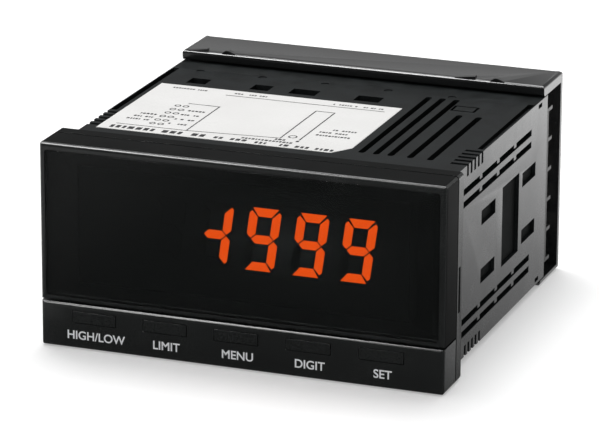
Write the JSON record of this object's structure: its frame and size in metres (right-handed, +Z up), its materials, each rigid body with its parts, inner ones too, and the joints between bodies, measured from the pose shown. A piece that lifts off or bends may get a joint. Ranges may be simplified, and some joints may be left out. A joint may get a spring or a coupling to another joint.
{
  "type": "digital panel meter",
  "caption": "Digital panel meter: wide front bezel with a lit numeric display and a row of keys, slotted rear case, and a clip-on terminal cover.",
  "frame": {"origin": "centre of the panel cut-out, in the plane of the panel's front face, where the gasket's back face lies", "axes": "+X to the right seen from the front, +Y back through the panel towards the terminals, +Z up"},
  "size_m": [0.096, 0.0951, 0.0498],
  "materials": {
    "bezel_black": "black flame-retardant plastic, fine satin moulded finish",
    "window_smoke": "smoke-tinted acrylic, polished",
    "crystal_black": "dark polarised liquid crystal glass",
    "light_guide": "white light guide",
    "segment_orange": "lit orange-red segment",
    "segment_dark": "unlit segment, a shade above the panel",
    "fascia_black": "black plastic, fine satin moulded finish",
    "key_black": "black key top, fine satin finish",
    "switch_grey": "dark grey switch body",
    "board_green": "green solder mask on glass-epoxy board",
    "gasket_rubber": "black rubber packing",
    "case_black": "black plastic case, matt fine-grained moulded finish",
    "ferrite_grey": "dark ferrite core with taped winding",
    "capacitor_sleeve": "dark blue shrink sleeve",
    "relay_black": "black relay case",
    "chip_black": "black moulded chip",
    "header_black": "black header block",
    "terminal_black": "black moulded terminal block",
    "contact_brass": "tinned brass strip",
    "clamp_steel": "zinc-plated pressed clamp",
    "screw_steel": "zinc-plated pan head screw",
    "cover_black": "black plastic terminal cover, polished",
    "label_white": "white printed film label"
  },
  "bodies": {
    "meter": {"front_bezel": "bezel_black", "display_window": "window_smoke", "lcd_panel": "crystal_black", "backlight": "light_guide", "lit_segments": "segment_orange", "unlit_segments": "segment_dark", "key_fascia": "fascia_black", "tact_switches": "switch_grey", "display_board": "board_green", "panel_gasket": "gasket_rubber", "rear_case": "case_black", "main_board": "board_green", "power_board": "board_green", "terminal_board": "board_green", "power_transformer": "ferrite_grey", "filter_capacitors": "capacitor_sleeve", "output_relays": "relay_black", "signal_chips": "chip_black", "board_headers": "header_black", "terminal_block": "terminal_black", "terminal_contacts": "contact_brass", "terminal_clamps": "clamp_steel", "terminal_screws": "screw_steel", "rating_label": "label_white"},
    "key_high_low": {"key_high_low": "key_black"},
    "key_limit": {"key_limit": "key_black"},
    "key_menu": {"key_menu": "key_black"},
    "key_digit": {"key_digit": "key_black"},
    "key_set": {"key_set": "key_black"},
    "terminal_cover": {"terminal_cover": "cover_black"}
  },
  "joints": [
    {"name": "key_high_low_press", "type": "slide", "parent": "meter", "child": "key_high_low", "axis": [0, 1, 0], "range_m": [0, 0.0004], "stiffness_N_per_m": 1000},
    {"name": "key_limit_press", "type": "slide", "parent": "meter", "child": "key_limit", "axis": [0, 1, 0], "range_m": [0, 0.0004], "stiffness_N_per_m": 1000},
    {"name": "key_menu_press", "type": "slide", "parent": "meter", "child": "key_menu", "axis": [0, 1, 0], "range_m": [0, 0.0004], "stiffness_N_per_m": 1000},
    {"name": "key_digit_press", "type": "slide", "parent": "meter", "child": "key_digit", "axis": [0, 1, 0], "range_m": [0, 0.0004], "stiffness_N_per_m": 1000},
    {"name": "key_set_press", "type": "slide", "parent": "meter", "child": "key_set", "axis": [0, 1, 0], "range_m": [0, 0.0004], "stiffness_N_per_m": 1000},
    {"name": "terminal_cover_pull", "type": "slide", "parent": "meter", "child": "terminal_cover", "axis": [0, 1, 0], "range_m": [0, 0.02]}
  ]
}
